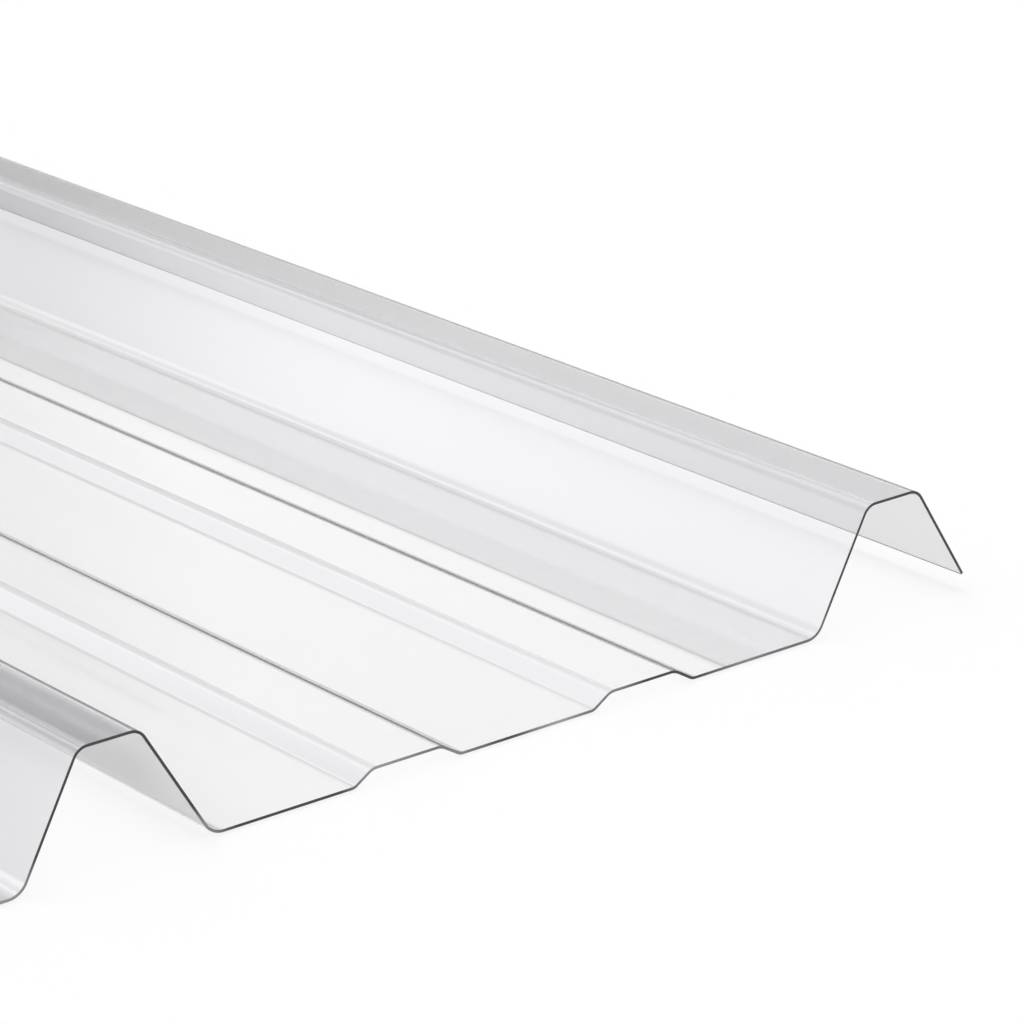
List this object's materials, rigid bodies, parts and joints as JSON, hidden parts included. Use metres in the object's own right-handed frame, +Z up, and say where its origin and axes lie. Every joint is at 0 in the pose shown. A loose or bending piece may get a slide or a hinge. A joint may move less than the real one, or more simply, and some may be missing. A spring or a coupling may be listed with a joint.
{
  "type": "trapezoidal polycarbonate sheet",
  "caption": "Clear trapezoidal roofing sheet with flat-topped ribs, stiffened pans and free edges that lap over the next sheet.",
  "frame": {"origin": "middle of the sheet's width and length, on the level of the undersides of the pans, which rest on the floor", "axes": "+X across the ribs, +Y along the ribs, +Z up, the side to which the ribs rise"},
  "size_m": [1.05, 2, 0.0338],
  "materials": {
    "clear_polycarbonate": "clear, colourless, glossy as extruded, with dark saw-cut ends"
  },
  "bodies": {
    "root": {"sheet": "clear_polycarbonate"}
  },
  "joints": []
}
